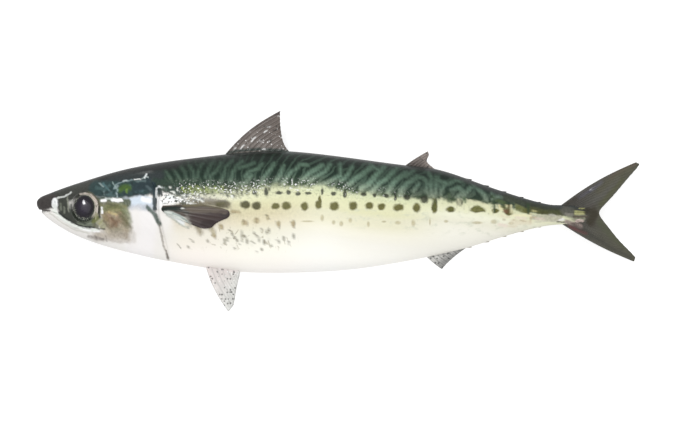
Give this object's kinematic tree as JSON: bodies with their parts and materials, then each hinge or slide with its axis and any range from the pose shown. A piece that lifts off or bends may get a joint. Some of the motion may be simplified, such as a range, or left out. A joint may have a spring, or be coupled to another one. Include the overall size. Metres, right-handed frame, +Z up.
{
  "type": "whole raw fish",
  "caption": "Whole raw mackerel lying on its right side, gill cover closed and fins part spread, with a slim tail stalk and a forked tail.",
  "frame": {"origin": "middle of the bounding box at the table, under the fish", "axes": "+X from the snout to the tail, +Y from the belly to the back, +Z up, out of the left flank"},
  "size_m": [0.3496, 0.117, 0.0482],
  "materials": {
    "skin": "wet and glossy: dark wavy bars on a green back, cream belly"
  },
  "bodies": {
    "root": {"fish": "skin"}
  },
  "joints": []
}
